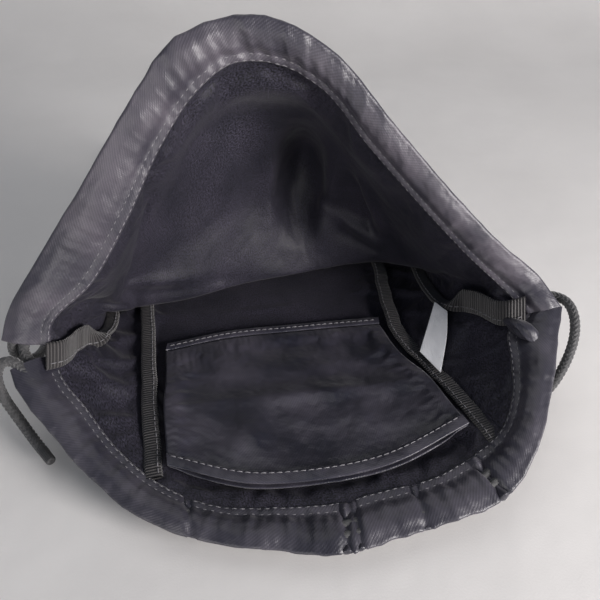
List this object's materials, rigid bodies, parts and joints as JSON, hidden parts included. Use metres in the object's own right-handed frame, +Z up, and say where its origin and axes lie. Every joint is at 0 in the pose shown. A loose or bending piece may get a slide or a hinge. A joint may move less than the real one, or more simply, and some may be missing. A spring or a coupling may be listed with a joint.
{
  "type": "drawstring backpack",
  "caption": "Soft drawstring backpack lying with its mouth held open, with corded casings, bound seams and an inner slip pocket.",
  "frame": {"origin": "middle of the bag's footprint, on the surface that it lies on", "axes": "+Z up, the mouth faces -Y and the closed end +Y, +X to the right seen from the mouth"},
  "size_m": [0.2942, 0.3636, 0.1727],
  "materials": {
    "shell_fabric": "satin woven nylon",
    "casing_fabric": "satin twill, puckered at the stitching",
    "pocket_fabric": "satin woven nylon",
    "binding_tape": "matte ribbed tape",
    "label_cloth": "smooth woven ribbon",
    "drawcord": "braided",
    "sealed_cord_end": "melted and pressed smooth"
  },
  "bodies": {
    "root": {"front_panel": "shell_fabric", "front_side_panel_left": "shell_fabric", "front_side_panel_right": "shell_fabric", "back_panel": "shell_fabric", "front_casing": "casing_fabric", "pocket_rear": "pocket_fabric", "pocket_bottom_seam": "pocket_fabric", "front_seam_tape_left": "binding_tape", "front_seam_tape_right": "binding_tape", "side_seam_tape_left": "binding_tape", "side_seam_tape_right": "binding_tape", "bottom_seam_tape": "binding_tape", "bottom_corner_loop_left": "binding_tape", "bottom_corner_loop_right": "binding_tape", "left_cord_in_front_casing": "drawcord", "right_cord_in_front_casing": "drawcord", "left_cord_strap": "drawcord", "right_cord_strap": "drawcord", "left_corner_crossing": "drawcord", "right_corner_crossing": "drawcord", "left_strap_knot": "drawcord", "right_strap_knot": "drawcord"},
    "back_hem": {"back_casing": "casing_fabric", "back_panel_flap": "shell_fabric", "left_cord_in_back_casing": "drawcord", "right_cord_in_back_casing": "drawcord"},
    "pocket_flap": {"pocket_front": "pocket_fabric", "pocket_hem": "pocket_fabric"},
    "label": {"care_label": "label_cloth"},
    "cord_tail": {"left_cord_tail": "drawcord", "left_cord_tip": "sealed_cord_end"}
  },
  "joints": [
    {"name": "mouth_close", "type": "hinge", "parent": "root", "child": "back_hem", "pos_m": [-0.1155, -0.0917, 0.04107], "axis": [0.992, 0.1261, -0.0042], "range_deg": [0, 95]},
    {"name": "pocket_open", "type": "hinge", "parent": "root", "child": "pocket_flap", "pos_m": [-0.0595, -0.1057, 0.00907], "axis": [-0.9911, -0.1331, -0.0074], "range_deg": [0, 35]},
    {"name": "label_lift", "type": "hinge", "parent": "root", "child": "label", "pos_m": [0.0845, -0.0367, 0.01807], "axis": [-0.5209, 0.8523, -0.0474], "range_deg": [0, 70]},
    {"name": "tail_pull", "type": "slide", "parent": "root", "child": "cord_tail", "axis": [-0.6509, 0.6509, 0.3906], "range_m": [0, 0.004]}
  ]
}
